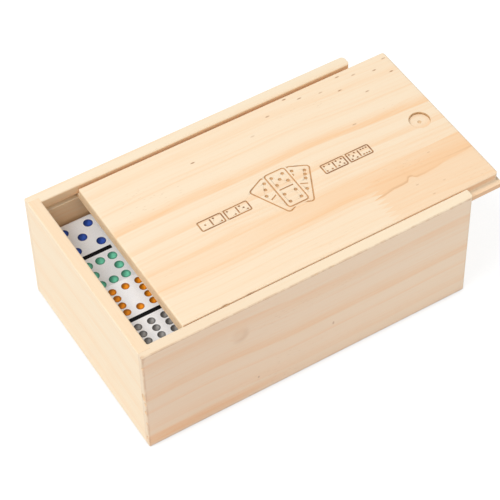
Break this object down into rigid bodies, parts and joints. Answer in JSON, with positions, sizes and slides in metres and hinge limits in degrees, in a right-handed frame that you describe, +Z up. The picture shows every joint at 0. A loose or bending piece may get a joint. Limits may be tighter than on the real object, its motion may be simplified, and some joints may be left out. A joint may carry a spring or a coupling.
{
  "type": "domino storage box",
  "caption": "Wooden storage box with a lid that slides in grooves in the two long walls, packed with two rows of stacked dominoes.",
  "frame": {"origin": "centre of the underside of the box body, the sliding lid left out", "axes": "+X along the box's length, the way the lid draws out; +Y across the box, from the near wall to the far wall; +Z up"},
  "size_m": [0.2086, 0.118, 0.07],
  "materials": {
    "pine_long_walls": "sanded bare pine, grain along the length",
    "pine_end_boards": "sanded bare pine, grain across the box",
    "pine_lid": "sanded bare pine with burnt engraved lines",
    "pine_bottom": "thin sanded board",
    "domino_plastic": "moulded white, pips and bar painted"
  },
  "bodies": {
    "box": {"front_wall": "pine_long_walls", "back_wall": "pine_long_walls", "left_end_board": "pine_end_boards", "right_end_board": "pine_end_boards", "bottom_board": "pine_bottom", "near_top_tile_1": "domino_plastic", "near_top_tile_2": "domino_plastic", "near_top_tile_3": "domino_plastic", "near_top_tile_4": "domino_plastic", "near_top_tile_5": "domino_plastic", "near_top_tile_6": "domino_plastic", "near_top_tile_7": "domino_plastic", "far_top_tile_1": "domino_plastic", "far_top_tile_2": "domino_plastic", "far_top_tile_3": "domino_plastic", "far_top_tile_4": "domino_plastic", "far_top_tile_5": "domino_plastic", "far_top_tile_6": "domino_plastic", "far_top_tile_7": "domino_plastic", "near_stack_1": "domino_plastic", "near_stack_2": "domino_plastic", "near_stack_3": "domino_plastic", "near_stack_4": "domino_plastic", "near_stack_5": "domino_plastic", "near_stack_6": "domino_plastic", "near_stack_7": "domino_plastic", "far_stack_1": "domino_plastic", "far_stack_2": "domino_plastic", "far_stack_3": "domino_plastic", "far_stack_4": "domino_plastic", "far_stack_5": "domino_plastic", "far_stack_6": "domino_plastic", "far_stack_7": "domino_plastic"},
    "lid": {"lid": "pine_lid"}
  },
  "joints": [
    {"name": "lid_slide", "type": "slide", "parent": "box", "child": "lid", "axis": [1, 0, 0], "range_m": [-0.0194, 0.165]}
  ]
}
